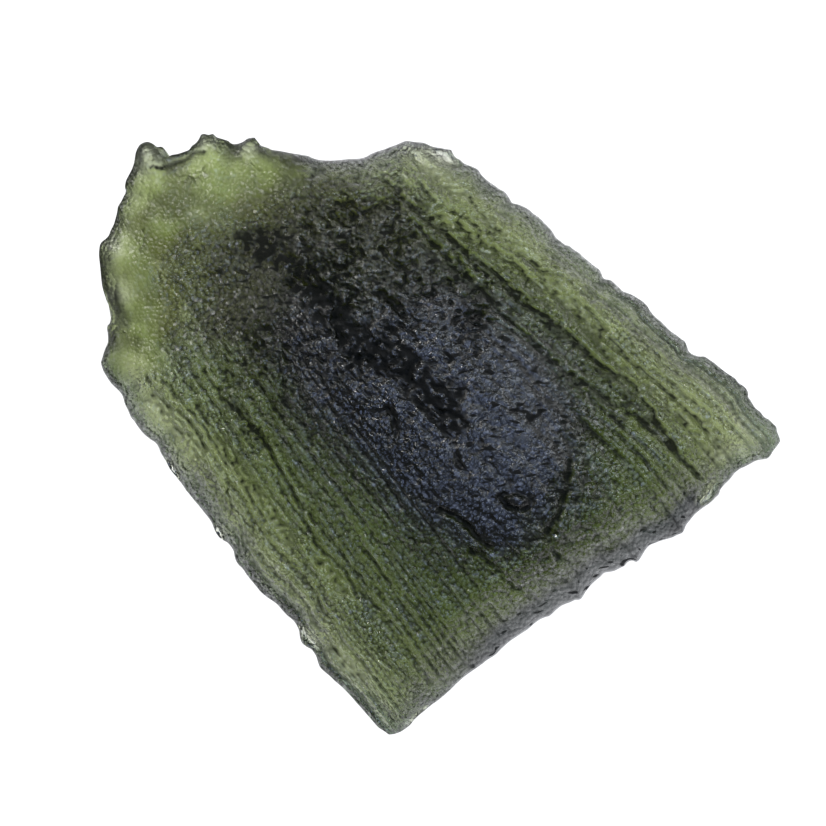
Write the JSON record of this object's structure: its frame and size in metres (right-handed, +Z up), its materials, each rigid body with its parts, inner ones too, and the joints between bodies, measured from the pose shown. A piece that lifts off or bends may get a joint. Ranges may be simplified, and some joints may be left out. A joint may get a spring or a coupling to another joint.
{
  "type": "moldavite",
  "caption": "Loose flat plate of green natural glass with parallel flutes, deep grooves, a smooth bulb at one end and one broken side",
  "frame": {"origin": "middle of the stone in plan, on the surface that it rests on", "axes": "+X to the stone's right corner, +Y to its bulb and hollow, +Z up out of its domed top; the flutes run from upper left to lower right"},
  "size_m": [0.034, 0.03, 0.0075],
  "materials": {
    "green_glass": "natural etched glass, satin with bright facets, bright green where it is thin and nearly black where it is thick"
  },
  "bodies": {
    "root": {"moldavite": "green_glass"}
  },
  "joints": []
}
